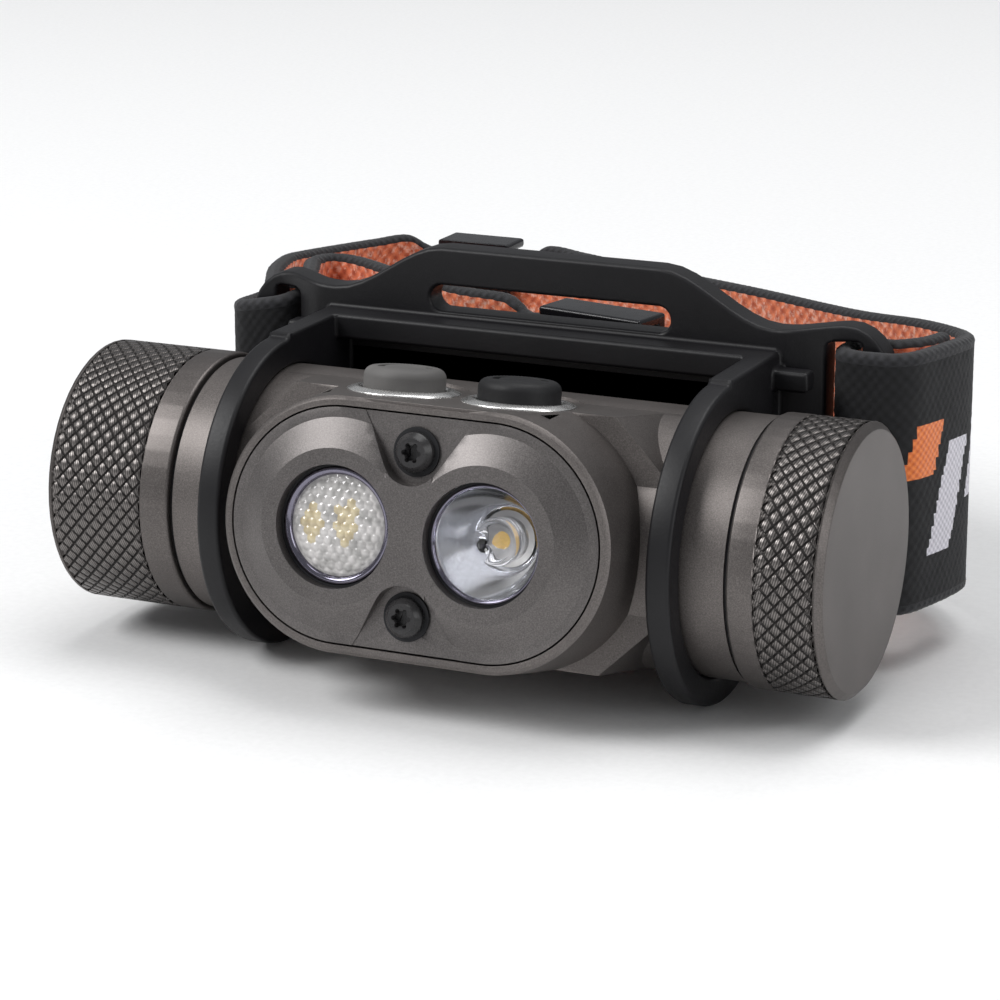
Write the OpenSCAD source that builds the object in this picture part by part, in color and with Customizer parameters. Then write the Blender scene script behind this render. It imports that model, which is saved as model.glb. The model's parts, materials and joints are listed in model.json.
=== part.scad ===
// Head torch with two lenses: a cylindrical one-cell lamp with a flat-fronted
// head, carried by two rings of a polymer bracket on an elastic head strap.
// Units are millimetres. The origin is on the bracket's back face, level with
// the lamp's axis: +X is to the right as seen from the front, +Y points at the
// forehead and +Z is up. Left and right in names are as seen from the front.

/* [Lamp body] */
// Outer diameter of the battery tube
tube_d = 25; // [24:0.1:26]
// Bore for the cell
bore_d = 19.2; // [18.8:0.1:19.6]
// Length of the tube between the two cap gaps
tube_len = 56.6; // [56:0.1:58]
// How far the front is tilted up at rest, in degrees
rest_tilt = 9; // [0:1:20]
// Distance from the tube's axis to the front rim of the head
head_reach = 18.3; // [17.6:0.1:19]
// Distance between the two lens centres
lens_pitch = 15; // [14.6:0.1:15.4]
// Radius of the head's rounded ends at the front rim
head_r = 12.03; // [11.9:0.01:12.3]
// Radius of the head's rounded ends at the shoulder
head_root_r = 12.9; // [12.5:0.1:13.2]
// Height of the milled flat on top above the axis
top_flat = 12; // [11.8:0.05:12.2]
// Width of the shouldered block behind the head's rounded ends
block_w = 42.9; // [42:0.1:43]
// Distance from the axis to the front of that block
block_reach = 11; // [10.5:0.1:11.5]

/* [Bezel and lenses] */
// Radius of the bezel plate's rounded ends
bezel_r = 10.97; // [10.8:0.01:11.1]
// Thickness of the bezel plate at its edge
bezel_t = 1.6; // [1.4:0.1:1.8]
// Height of the raised plateau above the bezel plate's edge
plateau_h = 1.45; // [1.2:0.05:1.7]
// Radius of the plateau round each lens
plateau_r = 7.3; // [7:0.05:7.5]
// Radius where each plateau's cone meets the plate
cone_r = 10.04; // [9.8:0.02:10.3]
// Radius of each lens opening
lens_open_r = 5.77; // [5.6:0.01:5.9]
// How far the lens faces lie behind the plateau
lens_recess = 1; // [0.8:0.1:1.4]
// Height of the bezel screws above and below the lens line
screw_z = 7.64; // [7.5:0.02:7.8]
// Radius of the screw pockets
pocket_r = 3.05; // [2.9:0.05:3.2]
// Radius of the screw heads
screw_head_r = 1.85; // [1.7:0.05:1.9]

/* [Buttons] */
// Distance between the two buttons
button_pitch = 11.8; // [11.6:0.1:12]
// Distance of the buttons in front of the tube's axis
button_y = 9.3; // [9.2:0.1:9.5]
// Radius of the buttons
button_r = 3.9; // [3.7:0.1:4]
// How far the buttons stand above their rings
button_proud = 1.9; // [1.6:0.1:2.1]
// Outer radius of the polished rings
ring_r = 5.44; // [5.3:0.02:5.6]
// How far the buttons travel when pressed
button_travel = 0.6; // [0.4:0.1:0.7]

/* [Caps and cell] */
// Outer diameter of the screw caps
cap_d = 25.9; // [25.6:0.1:26.4]
// Length of the left cap
left_cap_len = 13.5; // [13:0.1:14]
// Length of the right cap
right_cap_len = 9.1; // [9:0.1:9.6]
// Gap between the tube and each cap, filled by the O-ring
cap_gap = 0.3; // [0.25:0.05:0.4]
// Diameter of the threaded necks
neck_d = 22.4; // [22:0.1:22.6]
// Diameter of the cell
cell_d = 18.4; // [18.2:0.1:18.6]
// Length of the cell without its button
cell_len = 65; // [64:0.5:65]

/* [Bracket] */
// Radial thickness of the bracket's rings
hoop_t = 2.75; // [2.5:0.05:3]
// Width of each ring along the tube
hoop_w = 2.4; // [2.2:0.1:2.6]
// Distance between the inner faces of the two rings
hoop_gap = 43.5; // [43.4:0.1:44]
// Thickness of the plate behind the lamp
plate_t = 3.2; // [3:0.1:3.5]
// Distance from the lamp's axis to the plate's front face
plate_y = 12.8; // [12.8:0.1:13.2]
// Length of the plate
plate_w = 68.4; // [67:0.2:70]
// Height of the plate's middle above the axis
crest_z = 22.7; // [22:0.1:23.5]
// Depth of the plate below the axis
plate_drop = 13.2; // [13:0.1:14]

/* [Strap] */
// Width of the elastic webbing
strap_w = 26; // [25:0.5:26]
// Thickness of the elastic webbing
strap_t = 1.8; // [1.6:0.1:1.8]
// Length of the slider buckle at the rear of the strap
rear_buckle_len = 9; // [8:0.5:9]
// Length of the slider buckle on the strap's doubled end
inner_buckle_len = 12.4; // [11:0.2:12.6]
// Width of the webbing where a buckle gathers it
gathered_w = 23.2; // [23:0.1:23.4]

/* [Hidden] */
$fn = 96;
eps = 0.01;

METAL = [0.33, 0.31, 0.31];
BLACK = [0.06, 0.06, 0.07];
BOARD = [0.10, 0.28, 0.16];
CHROME = [0.8, 0.8, 0.8];
BRASS = [0.8, 0.62, 0.3];
LENS = [0.9, 0.93, 0.95, 0.5];
AMBER = [0.95, 0.8, 0.35];
ORANGE = [0.82, 0.35, 0.2];

tube_r = tube_d / 2;
bore_r = bore_d / 2;
tube_end = tube_len / 2;
neck_r = neck_d / 2;
cap_r = cap_d / 2;
lens_x = lens_pitch / 2;
button_x = button_pitch / 2;
cap_start = tube_end + cap_gap;
left_neck = 7;
right_neck = 5.4;
cap_wall = 1.7;
board_t = 1.6;
running = 0.05;

// Depths measured forward from the tube's axis
bezel_back = head_reach - bezel_t;
pocket_floor = head_reach - 0.1;
seal_t = 0.25;
plateau_y = head_reach + plateau_h;
lip_t = 2.2;
lip_y = plateau_y - lip_t;
lens_face = plateau_y - lens_recess;
shelf_y = bore_r + 1.2;
shelf_t = 0.8;
led_board_t = 1;
led_y = shelf_y + shelf_t + led_board_t;
led_t = 0.7;
cavity_r = bezel_r - 1.2;

// Heights of the pieces under the buttons
board_z = 8.6;
switch_z = board_z + 0.8;
switch_t = 1.3;
button_base = switch_z + switch_t + button_travel + 0.05;
flange_t = 0.5;
ring_lip = 0.4;

// The bracket
hoop_in = tube_r + running;
hoop_out = hoop_in + hoop_t;
hoop_x = hoop_gap / 2;
shelf_top = 15.75;
shelf_depth = 3.2;
shelf_h = 2.5;
plate_back = plate_y + plate_t;
end_x = plate_w / 2;
slot_w = 3.2;
slot_x = end_x - 2.8 - slot_w;
slot_h = strap_w + 0.8;
window_w = 25.6;
window_h = 2.6;
window_z = 17.6;

// Height of the webbing's middle at the bracket, and the slider buckles
strap_mid = 3.2;
buckle_slot = 0.35;
buckle_bar = 1.8;
buckle_rail = (strap_w - gathered_w) / 2 - buckle_slot;
buckle_face = 1.2;

// Moves the lamp from its own frame, front level and axis at the origin
module place_lamp() {
    translate([0, -plate_back, 0])
        rotate([-rest_tilt, 0, 0])
            children();
}

// Moves the bracket's and strap's pieces from a frame on the lamp's axis
module place_bracket() {
    translate([0, -plate_back, 0])
        children();
}

// A disc or ring about the tube's axis from x0 to x1
module along_x(x0, x1, r) {
    translate([min(x0, x1), 0, 0])
        rotate([0, 90, 0])
            cylinder(h = abs(x1 - x0), r = r);
}

// A round piece facing forward, from depth y0 to y1 in front of the axis
module forward(x, z, y0, y1, r) {
    translate([x, -y0, z])
        rotate([90, 0, 0])
            cylinder(h = y1 - y0, r = r);
}

// A cone facing forward, radius r0 at depth y0 and r1 at y1
module forward_cone(x, z, y0, y1, r0, r1) {
    translate([x, -y0, z])
        rotate([90, 0, 0])
            cylinder(h = y1 - y0, r1 = r0, r2 = r1);
}

// A revolved profile of [radius, depth] points about a lens axis
module revolved(x, profile) {
    translate([x, 0, 0])
        rotate([90, 0, 0])
            rotate_extrude()
                polygon(profile);
}

// A stadium about the two lens centres, from depth y0 to y1
module stadium(y0, y1, r) {
    for (x = [-lens_x, lens_x])
        forward(x, 0, y0, y1, r);
    translate([-lens_x, -y1, -r])
        cube([lens_pitch, y1 - y0, 2 * r]);
}

// The head's rounded front, which widens towards the block behind it
module head_front() {
    chamfer = 0.35;
    intersection() {
        union() {
            for (x = [-lens_x, lens_x]) {
                forward_cone(x, 0, 0, head_reach - chamfer, head_root_r + 1.1, head_r);
                forward_cone(x, 0, head_reach - chamfer, head_reach, head_r, head_r - chamfer);
            }
            translate([-lens_x, -head_reach + chamfer, -head_r])
                cube([lens_pitch, head_reach - chamfer, 2 * head_r]);
            translate([-lens_x, -head_reach, -head_r + chamfer])
                cube([lens_pitch, head_reach, 2 * (head_r - chamfer)]);
        }
        translate([-block_w / 2, -head_reach - 1, -top_flat])
            cube([block_w, head_reach + 1, 2 * top_flat]);
    }
}

// The shouldered block between the rings, with four slanted shoulders
module head_block() {
    shoulder_x = 16.3;
    draft = 14;
    difference() {
        translate([-block_w / 2, -block_reach, -top_flat])
            cube([block_w, block_reach, 2 * top_flat]);
        for (sx = [0, 1], sz = [0, 1])
            mirror([sx, 0, 0])
                mirror([0, 0, sz])
                    translate([shoulder_x, -block_reach, top_flat])
                        rotate([0, -45, -draft])
                            translate([0, -20, -20])
                                cube([20, 40, 40]);
    }
}

// The flat on top of the head, with scallops round the buttons' rings
module top_milling() {
    scallop_r = ring_r + 1.3;
    translate([-14.6, -head_reach - 1, top_flat])
        cube([29.2, head_reach + 1 - 5.6, 5]);
    for (x = [-button_x, button_x])
        translate([x, -button_y + 0.6, top_flat])
            cylinder(h = 5, r = scallop_r);
}

module housing() {
    color(METAL)
        difference() {
            union() {
                along_x(-tube_end, tube_end, tube_r);
                along_x(-tube_end - left_neck, tube_end + right_neck, neck_r);
                head_front();
                head_block();
            }
            along_x(-tube_end - left_neck - 1, tube_end + right_neck + 1, bore_r);
            // Recess for the bezel plate and its gasket
            stadium(bezel_back - 0.3, head_reach + 1, bezel_r + 0.18);
            // Cavity for the lenses and their boards
            difference() {
                stadium(shelf_y, head_reach, cavity_r);
                for (z = [-screw_z, screw_z])
                    forward(0, z, shelf_y - 1, bezel_back - 0.3, 2);
            }
            // Screw holes
            for (z = [-screw_z, screw_z])
                forward(0, z, shelf_y + 0.6, head_reach, 0.95);
            // Room for the switch board, reached from the front cavity
            difference() {
                translate([-11.6, -bezel_back + 1.4, board_z])
                    cube([23.2, bezel_back - 1.4 - 5.7, button_base + flange_t + 0.05 - board_z]);
                forward(0, screw_z, shelf_y - 1, bezel_back, 2);
            }
            // Openings for the buttons and seats for their rings
            for (x = [-button_x, button_x])
                translate([x, -button_y, board_z + 1]) {
                    cylinder(h = 6, r = button_r + 0.2);
                    translate([0, 0, top_flat - board_z - 1 - 0.6])
                        cylinder(h = 6, r = ring_r);
                }
            top_milling();
        }
}

// Outline of a screw pocket, which opens towards the plate's edge
module pocket_outline() {
    draft = 30;
    far_z = bezel_r + 1;
    far_x = pocket_r * cos(draft) + (far_z - screw_z + pocket_r * sin(draft)) * tan(draft);
    polygon(concat(
        [for (a = [-draft : -10 : draft - 180]) [pocket_r * cos(a), screw_z + pocket_r * sin(a)]],
        [[-far_x, far_z], [far_x, far_z]]));
}

module bezel_plate() {
    waist_x = 2.3;
    waist_z = 6;
    sink = 0.3;
    root = head_reach - sink;
    root_r = cone_r + (cone_r - plateau_r) / plateau_h * sink;
    color(METAL)
        difference() {
            union() {
                stadium(bezel_back, head_reach, bezel_r);
                for (x = [-lens_x, lens_x])
                    forward_cone(x, 0, root, plateau_y, root_r, plateau_r);
                translate([-waist_x, -plateau_y, -waist_z])
                    cube([2 * waist_x, plateau_y - root, 2 * waist_z]);
            }
            for (m = [0, 1])
                mirror([0, 0, m])
                    translate([0, -pocket_floor, 0])
                        rotate([90, 0, 0])
                            linear_extrude(height = 4)
                                pocket_outline();
            for (x = [-lens_x, lens_x]) {
                forward(x, 0, bezel_back - 1, plateau_y + 1, lens_open_r);
                forward(x, 0, bezel_back - 1, lip_y, 6.6);
            }
            for (z = [-screw_z, screw_z])
                forward(0, z, bezel_back - 1, plateau_y, 1.1);
        }
}

module bezel_gasket() {
    color(BLACK)
        difference() {
            stadium(bezel_back - 0.3, bezel_back, bezel_r + 0.1);
            stadium(bezel_back - 1, head_reach, cavity_r);
        }
}

// Round-headed screws with six-lobed sockets
module bezel_screws() {
    head_h = 1.15;
    seat = pocket_floor + seal_t;
    lobes = 6;
    color(BLACK)
        for (z = [-screw_z, screw_z])
            difference() {
                union() {
                    forward(0, z, shelf_y + 0.7, seat + 0.2, 0.94);
                    forward(0, z, seat, seat + 0.45 * head_h, screw_head_r);
                    forward_cone(0, z, seat + 0.45 * head_h, seat + head_h, screw_head_r, 1.35);
                }
                forward(0, z, seat + 0.3, seat + 2, 0.72);
                for (k = [0 : lobes - 1])
                    translate([0, 0, z])
                        rotate([0, k * 360 / lobes, 0])
                            forward(0.74, 0, seat + 0.3, seat + 2, 0.24);
            }
}

module screw_seals() {
    color(BLACK)
        for (z = [-screw_z, screw_z])
            difference() {
                forward(0, z, pocket_floor, pocket_floor + seal_t, 2.3);
                forward(0, z, pocket_floor - 1, pocket_floor + 1, 1.1);
            }
}

// Profile points of a reflecting bowl, from radius r0 at depth y0 to r1 at y1
function reflector(steps, y0, y1, r0, r1) = [
    for (k = [0 : steps])
        let (t = k / steps)
        [r0 + (r1 - r0) * sqrt(t), y0 + (y1 - y0) * t]
];

// One moulded lens: a front disc, a clamping flange and a curved reflector
module moulded_lens(x) {
    back = led_y + led_t + 0.15;
    flange = 16.4;
    color(LENS)
        revolved(x, concat(
            [[0, back + 2.2], [2, back + 2.2], [2, back]],
            reflector(10, back, flange, 2.7, 5.4),
            [[6.45, flange], [6.45, lip_y - 0.3], [5.5, lip_y - 0.3],
             [5.5, lens_face], [0, lens_face]]));
}

module flood_lens() { moulded_lens(-lens_x); }

module spot_lens() {
    bore_depth = 1.2;
    difference() {
        moulded_lens(lens_x);
        forward(lens_x, 0, lens_face - bore_depth, lens_face + 1, 1.9);
    }
}

module lens_seals() {
    color(BLACK)
        for (x = [-lens_x, lens_x])
            difference() {
                union() {
                    forward(x, 0, lip_y - 0.3, lip_y, 6.5);
                    forward(x, 0, lip_y - eps, lens_face - 0.15, lens_open_r - 0.01);
                }
                forward(x, 0, lip_y - 1, lens_face + 1, 5.5 + eps);
            }
}

// Aluminium heat spreader that both light-source boards sit on
module led_shelf() {
    color(CHROME)
        difference() {
            stadium(shelf_y, shelf_y + shelf_t, 6.1);
            for (z = [-screw_z, screw_z])
                forward(0, z, shelf_y - 1, shelf_y + 2, 2.1);
        }
}

module led_board(x) {
    color(BOARD)
        forward(x, 0, shelf_y + shelf_t, led_y, 5.8);
}

module flood_led_board() { led_board(-lens_x); }

module spot_led_board() { led_board(lens_x); }

module flood_leds() {
    chip = 1.3;
    gap = 0.3;
    color(AMBER)
        for (i = [-1, 1], j = [-1, 1])
            translate([-lens_x + i * (chip + gap) / 2 - chip / 2, -led_y - led_t,
                       j * (chip + gap) / 2 - chip / 2])
                cube([chip, led_t, chip]);
}

module spot_led() {
    chip = 2.6;
    color(AMBER)
        translate([lens_x - chip / 2, -led_y - led_t, -chip / 2])
            cube([chip, led_t, chip]);
}

module driver_board() {
    board_y0 = shelf_y + 0.1;
    board_d = bezel_back - 0.4 - board_y0;
    color(BOARD) {
        difference() {
            translate([-9, -board_y0 - board_d, -8.4])
                cube([18, board_d, 0.8]);
            forward(0, -screw_z, shelf_y - 1, head_reach, 2.2);
        }
        for (x = [-6.5, 4])
            translate([x, -board_y0 - board_d + 1.2, -9.2])
                cube([2.5, 2.5, 0.8]);
    }
}

module switch_board() {
    color(BOARD)
        difference() {
            translate([-11.2, -bezel_back + 1.8, board_z])
                cube([22.4, bezel_back - 1.8 - 6, switch_z - board_z]);
            forward(0, screw_z, shelf_y - 1, bezel_back, 2.2);
        }
}

module tact_switches() {
    color(CHROME)
        for (x = [-button_x, button_x])
            translate([x, -button_y, switch_z]) {
                translate([-2.2, -2.2, 0])
                    cube([4.4, 4.4, switch_t - 0.4]);
                cylinder(h = switch_t, r = 1);
            }
}

// Polished ring with a bevelled top, let into the flat round a button
module button_ring(x) {
    color(CHROME)
        translate([x, -button_y, 0])
            rotate_extrude()
                polygon([
                    [button_r + 0.25, top_flat - 0.6], [ring_r - 0.02, top_flat - 0.6],
                    [ring_r - 0.02, top_flat + 0.1], [ring_r - 0.75, top_flat + ring_lip],
                    [button_r + 0.45, top_flat + ring_lip], [button_r + 0.25, top_flat + 0.2]
                ]);
}

module left_button_ring() { button_ring(-button_x); }

module right_button_ring() { button_ring(button_x); }

// Silicone button with a rounded edge and a shallow arc-shaped groove
module button(x, shade) {
    top = top_flat + ring_lip + button_proud;
    edge = 0.9;
    groove_r = 2.3;
    color(shade)
        translate([x, -button_y, 0])
            difference() {
                rotate_extrude()
                    polygon(concat(
                        [[0, button_base], [button_r, button_base]],
                        [for (a = [0 : 15 : 90])
                            [button_r - edge + edge * cos(a), top - edge + edge * sin(a)]],
                        [[0, top]]));
                rotate([0, 0, 20])
                    rotate_extrude(angle = 200)
                        translate([groove_r - 0.3, top - 0.35])
                            square([0.6, 1]);
            }
}

module left_button() { button(-button_x, [0.45, 0.45, 0.45]); }

module right_button() { button(button_x, [0.1, 0.1, 0.11]); }

cell_x0 = -(tube_end + cap_gap + left_cap_len - cap_wall) + board_t + 3.8;
cell_x1 = cell_x0 + cell_len;
terminal_h = 1.2;

module battery_can() {
    color(CHROME)
        along_x(cell_x0, cell_x1, cell_d / 2 - 0.25);
}

module battery_wrap() {
    color([0.1, 0.25, 0.6])
        difference() {
            along_x(cell_x0 + 0.4, cell_x1 - 0.4, cell_d / 2);
            along_x(cell_x0 - 1, cell_x1 + 1, cell_d / 2 - 0.25);
        }
}

module battery_terminal() {
    color(CHROME)
        along_x(cell_x1, cell_x1 + terminal_h, 3);
}

// A screw cap in the frame of the right-hand end: open end inwards
module cap(length, neck) {
    chamfer = 0.7;
    lead = 0.35;
    x1 = cap_start + length;
    color(METAL)
        difference() {
            union() {
                along_x(cap_start + lead, x1 - chamfer, cap_r);
                translate([cap_start, 0, 0])
                    rotate([0, 90, 0])
                        cylinder(h = lead, r1 = cap_r - lead, r2 = cap_r);
                translate([x1 - chamfer, 0, 0])
                    rotate([0, 90, 0])
                        cylinder(h = chamfer, r1 = cap_r, r2 = cap_r - chamfer);
            }
            along_x(cap_start - 1, x1 - cap_wall, neck_r - 1.2);
            along_x(cap_start - 1, tube_end + neck + 0.4, neck_r + running);
        }
}

module left_cap() {
    mirror([1, 0, 0])
        cap(left_cap_len, left_neck);
}

module right_cap() { cap(right_cap_len, right_neck); }

// A contact board lying on the inside of a cap's end wall
module contact_board(length) {
    x1 = cap_start + length - cap_wall;
    color(BOARD)
        along_x(x1 - board_t, x1, neck_r - 1.25);
}

module left_contact_board() {
    mirror([1, 0, 0])
        contact_board(left_cap_len);
}

module right_contact_board() { contact_board(right_cap_len); }

// Conical coil spring: a ring of points carried along a narrowing helix
module coil(x0, x1, r0, r1, wire, turns) {
    around = 8;
    steps = 20 * turns;
    function station(k) =
        let (t = k / steps, a = 360 * turns * t, r = r0 + (r1 - r0) * t)
        [for (j = [0 : around - 1])
            let (b = 360 * j / around, q = r + wire * cos(b))
            [x0 + wire + (x1 - x0 - 2 * wire) * t + wire * sin(b), q * cos(a), q * sin(a)]];
    rings = [for (k = [0 : steps]) station(k)];
    points = [for (r = rings) each r];
    walls = [for (k = [0 : steps - 1], j = [0 : around - 1])
        let (n = (j + 1) % around)
        [k * around + j, (k + 1) * around + j, (k + 1) * around + n, k * around + n]];
    ends = [[for (j = [0 : around - 1]) j],
            [for (j = [around - 1 : -1 : 0]) steps * around + j]];
    polyhedron(points = points, faces = concat(walls, ends));
}

module left_contact_spring() {
    x_board = -(cap_start + left_cap_len - cap_wall - board_t);
    color(BRASS)
        coil(x_board, cell_x0, 6, 3.5, 0.4, 3);
}

module right_contact_spring() {
    x_board = cap_start + right_cap_len - cap_wall - board_t;
    color(BRASS)
        mirror([1, 0, 0])
            coil(-x_board, -(cell_x1 + terminal_h), 5, 2, 0.4, 3);
}

// Square-section seal seen in the gap between the tube and a cap
module o_ring() {
    color(BLACK)
        difference() {
            along_x(tube_end, cap_start, tube_r - 0.25);
            along_x(tube_end - 1, cap_start + 1, neck_r);
        }
}

module left_o_ring() {
    mirror([1, 0, 0])
        o_ring();
}

module right_o_ring() { o_ring(); }

// Half of the plate's upper outline, from the middle of the crest to the end:
// a flat crest, a shallow dip and a rounded hump over the strap's slot
function ease(t) = t * t * (3 - 2 * t);
crest_half = 11.5;
dip_x = 23.4;
dip_z = 17.8;
hump_x = 29.6;
hump_z = 18.2;
hump_end_z = 13.6;
outline_steps = 8;
plate_top = concat(
    [for (k = [0 : outline_steps])
        let (t = k / outline_steps)
        [crest_half + (dip_x - crest_half) * t, crest_z + (dip_z - crest_z) * ease(t)]],
    [for (k = [1 : outline_steps])
        let (t = k / outline_steps)
        [dip_x + (hump_x - dip_x) * t, dip_z + (hump_z - dip_z) * ease(t)]],
    [for (a = [75 : -15 : 0])
        [hump_x + (end_x - hump_x) * cos(a), hump_end_z + (hump_z - hump_end_z) * sin(a)]]);
plate_half = concat(
    plate_top,
    [for (a = [0 : -15 : -90])
        [end_x - 4 + 4 * cos(a), 4 - plate_drop + 4 * sin(a)]]);
plate_outline = concat(
    plate_half,
    [for (k = [len(plate_half) - 1 : -1 : 0]) [-plate_half[k][0], plate_half[k][1]]]);

// A slot with round ends, lying along x when wide or along z when tall
module round_slot(x, z, w, h) {
    r = min(w, h) / 2;
    dx = w / 2 - r;
    dz = h / 2 - r;
    for (s = [-1, 1])
        translate([x + s * dx, z + s * dz])
            circle(r = r);
    translate([x - (dx > 0 ? dx : r), z - (dz > 0 ? dz : r)])
        square([dx > 0 ? 2 * dx : 2 * r, dz > 0 ? 2 * dz : 2 * r]);
}

// Half of the plate seen from above: straight behind the lamp, then swept back
// to end bars that leave room for the strap behind the caps
sweep_x0 = 24.5;
sweep_x1 = 31;
sweep_back = 2.7;
plan_half = [for (k = [0 : outline_steps])
    let (t = k / outline_steps)
    [sweep_x0 + (sweep_x1 - sweep_x0) * t, sweep_back * ease(t)]];
plan_edge = concat(
    [for (k = [outline_steps : -1 : 0]) [-plan_half[k][0], plan_half[k][1]]], plan_half);
plan_outline = concat(
    [[-end_x - 1, sweep_back]], plan_edge, [[end_x + 1, sweep_back]],
    [[end_x + 1, sweep_back + plate_t]],
    [for (k = [len(plan_edge) - 1 : -1 : 0]) plan_edge[k] + [0, plate_t]],
    [[-end_x - 1, sweep_back + plate_t]]);

// The plate: its outline seen from the front crossed with that seen from above
module bracket_plate() {
    intersection() {
        translate([0, plate_back + sweep_back, 0])
            rotate([90, 0, 0])
                linear_extrude(height = plate_t + sweep_back)
                    difference() {
                        polygon(plate_outline);
                        round_slot(0, window_z, window_w, window_h);
                        for (s = [-1, 1])
                            translate([s * (slot_x + slot_w / 2) - slot_w / 2, strap_mid - slot_h / 2])
                                square([slot_w, slot_h]);
                    }
        translate([0, plate_y, -plate_drop - 1])
            linear_extrude(height = plate_drop + crest_z + 2)
                polygon(plan_outline);
    }
}

// One ring with the cheek that carries it back to the plate
module hoop(x) {
    translate([x, 0, 0]) {
        difference() {
            union() {
                along_x(0, hoop_w, hoop_out);
                translate([0, 0, -plate_drop + 1])
                    cube([hoop_w, plate_y + eps, plate_drop - 1 + shelf_top]);
            }
            along_x(-1, hoop_w + 1, hoop_in);
        }
    }
}

module bracket() {
    color(BLACK)
        union() {
            bracket_plate();
            hoop(hoop_x);
            hoop(-hoop_x - hoop_w);
            // Shelf between the rings
            translate([-hoop_x - eps, plate_y - shelf_depth, shelf_top - shelf_h])
                cube([hoop_gap + 2 * eps, shelf_depth + eps, shelf_h]);
            // Short ribs outside the rings
            for (m = [0, 1])
                mirror([m, 0, 0])
                    translate([hoop_x + hoop_w - eps, plate_y - 2.2, shelf_top - 3.4])
                        cube([3.6, 2.2 + eps, 2]);
        }
}

// Route of the strap's centreline: X, Y, height of its middle and width. It runs
// from the short end behind the right end bar, through the slot and round that
// bar, round the rear, round the left end bar and through the left slot to the
// short end behind it.
full = strap_w;
tight = gathered_w;
STRAP_ROUTE = [
    [35.9, 26.8, 2.8, full], [35.6, 24, 3, full], [34.9, 21.6, 3.2, full],
    [33.2, 20.1, 3.2, full], [31, 20, 3.2, full], [29.7, 18.6, 3.2, full],
    [29.7, 15.6, 3.2, full], [30.9, 14.4, 3.2, full], [33.4, 14.3, 3.2, full],
    [35, 14.6, 3.2, full], [36.4, 16, 3.2, full], [37.3, 19.2, 3.1, full],
    [38, 23.5, 2.9, full], [37.9, 27.8, 2.5, full], [35.8, 32.5, 1.9, full],
    [29.9, 38.8, 1, full], [20, 46.6, -0.5, full], [5, 56.6, -1.5, full],
    [-12, 65, -2.1, full], [-20, 68.8, -2.25, full], [-25, 70.7, -2.25, full],
    [-27.4, 71.2, -2.25, tight], [-29, 71.2, -2.25, tight], [-34, 71.2, -2.25, tight],
    [-38.5, 71.2, -2.25, tight], [-40.6, 71.2, -2.25, tight], [-42.8, 69.8, -2.25, full],
    [-45, 66, -2.2, full], [-46.6, 59.5, -1.8, full], [-47.3, 52.6, -1.2, full],
    [-47.2, 48, -0.8, full], [-44.8, 40.7, -0.2, full], [-42.2, 35.2, 0.2, full],
    [-39.1, 29, 0.6, full], [-37, 24.5, 1, full], [-36.6, 21, 1.2, full],
    [-36.2, 17.5, 1.5, full], [-35, 15, 1.9, full], [-33.4, 14.3, 2.3, full],
    [-30.9, 14.4, 2.8, full], [-29.7, 15.6, 3.1, full], [-29.7, 18.6, 3.2, full],
    [-31, 20, 3.2, full], [-33, 20.4, 3.2, full], [-34.2, 22, 3.1, full]
];
// Route of the doubled end, from its seam by the left slot to its free end. Its
// straight stretch behind the lamp falls back by one in five along X.
TAIL_ROUTE = [
    [-32.6, 22.3, 3, full], [-33.4, 26, 2.7, full], [-35.8, 31.6, 2.3, full],
    [-37.8, 36.2, 2, full], [-37.1, 39.2, 1.9, full], [-33.5, 39, 1.8, full],
    [-25, 33.8, 1.8, full], [-17, 29.8, 1.9, full], [-11, 27.9, 2, full],
    [-8.6, 27.4, 2, tight], [-6.6, 27, 2, tight], [0.4, 25.6, 2, tight],
    [6.4, 24.4, 2, tight], [8.4, 24, 2, tight], [11, 23.6, 2, full], [15, 23.4, 2, full]
];

// Catmull-Rom point between p[1] and p[2]
function blend(p, t) =
    (2 * p[1] + (p[2] - p[0]) * t + (2 * p[0] - 5 * p[1] + 4 * p[2] - p[3]) * t * t
        + (3 * p[1] - 3 * p[2] + p[3] - p[0]) * t * t * t) / 2;
function smooth(route, n) =
    let (last = len(route) - 1)
    [for (i = [0 : last - 1], k = [0 : n - 1])
        blend([route[max(i - 1, 0)], route[i], route[i + 1], route[min(i + 2, last)]], k / n),
     route[last]];
function heading(line, i) =
    let (d = line[min(i + 1, len(line) - 1)] - line[max(i - 1, 0)], l = norm([d[0], d[1]]))
    [d[0] / l, d[1] / l];

// Webbing on its edge, swept along a route as one closed solid
module webbing(route, n) {
    line = smooth(route, n);
    last = len(line) - 1;
    points = [for (i = [0 : last])
        let (d = heading(line, i), p = line[i], nx = -d[1] * strap_t / 2,
            ny = d[0] * strap_t / 2, h = p[3] / 2)
        each [[p[0] + nx, p[1] + ny, p[2] - h], [p[0] - nx, p[1] - ny, p[2] - h],
              [p[0] - nx, p[1] - ny, p[2] + h], [p[0] + nx, p[1] + ny, p[2] + h]]];
    walls = [for (i = [0 : last - 1], j = [0 : 3])
        let (m = (j + 1) % 4)
        [4 * i + j, 4 * i + m, 4 * i + 4 + m, 4 * i + 4 + j]];
    polyhedron(points = points, faces = concat(
        walls, [[3, 2, 1, 0], [4 * last, 4 * last + 1, 4 * last + 2, 4 * last + 3]]));
}

module strap() {
    color(ORANGE)
        webbing(STRAP_ROUTE, 3);
}

module strap_tail() {
    color(ORANGE)
        webbing(TAIL_ROUTE, 3);
}

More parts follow.
